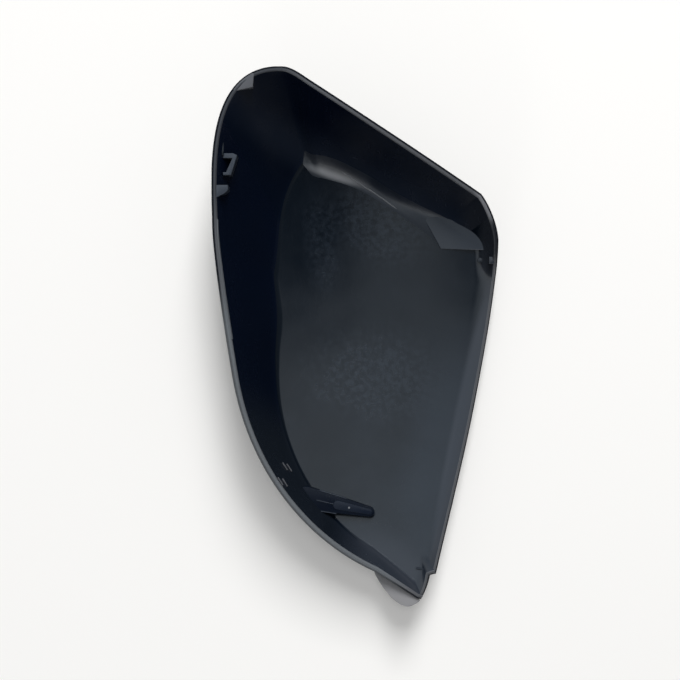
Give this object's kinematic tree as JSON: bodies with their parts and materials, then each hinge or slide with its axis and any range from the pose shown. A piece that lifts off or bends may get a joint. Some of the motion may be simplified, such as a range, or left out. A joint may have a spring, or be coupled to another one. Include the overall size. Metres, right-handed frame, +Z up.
{
  "type": "wing mirror cover",
  "caption": "Thin moulded outer cap of a car's wing mirror, a deep tapering shell open on one side, with a clip hook, a seat and a finger clip inside its rim",
  "frame": {"origin": "middle of the plan at the lowest point of the outer skin, on which the cover lies", "axes": "+X from the flank to the outer corner, +Y from the nose to the top of the rim, +Z up out of the hollow"},
  "size_m": [0.1295, 0.2436, 0.0547],
  "materials": {
    "gloss_shell": "blue-black gloss moulding, bare, with light scuffs and dust"
  },
  "bodies": {
    "root": {"mirror_cover": "gloss_shell"}
  },
  "joints": []
}
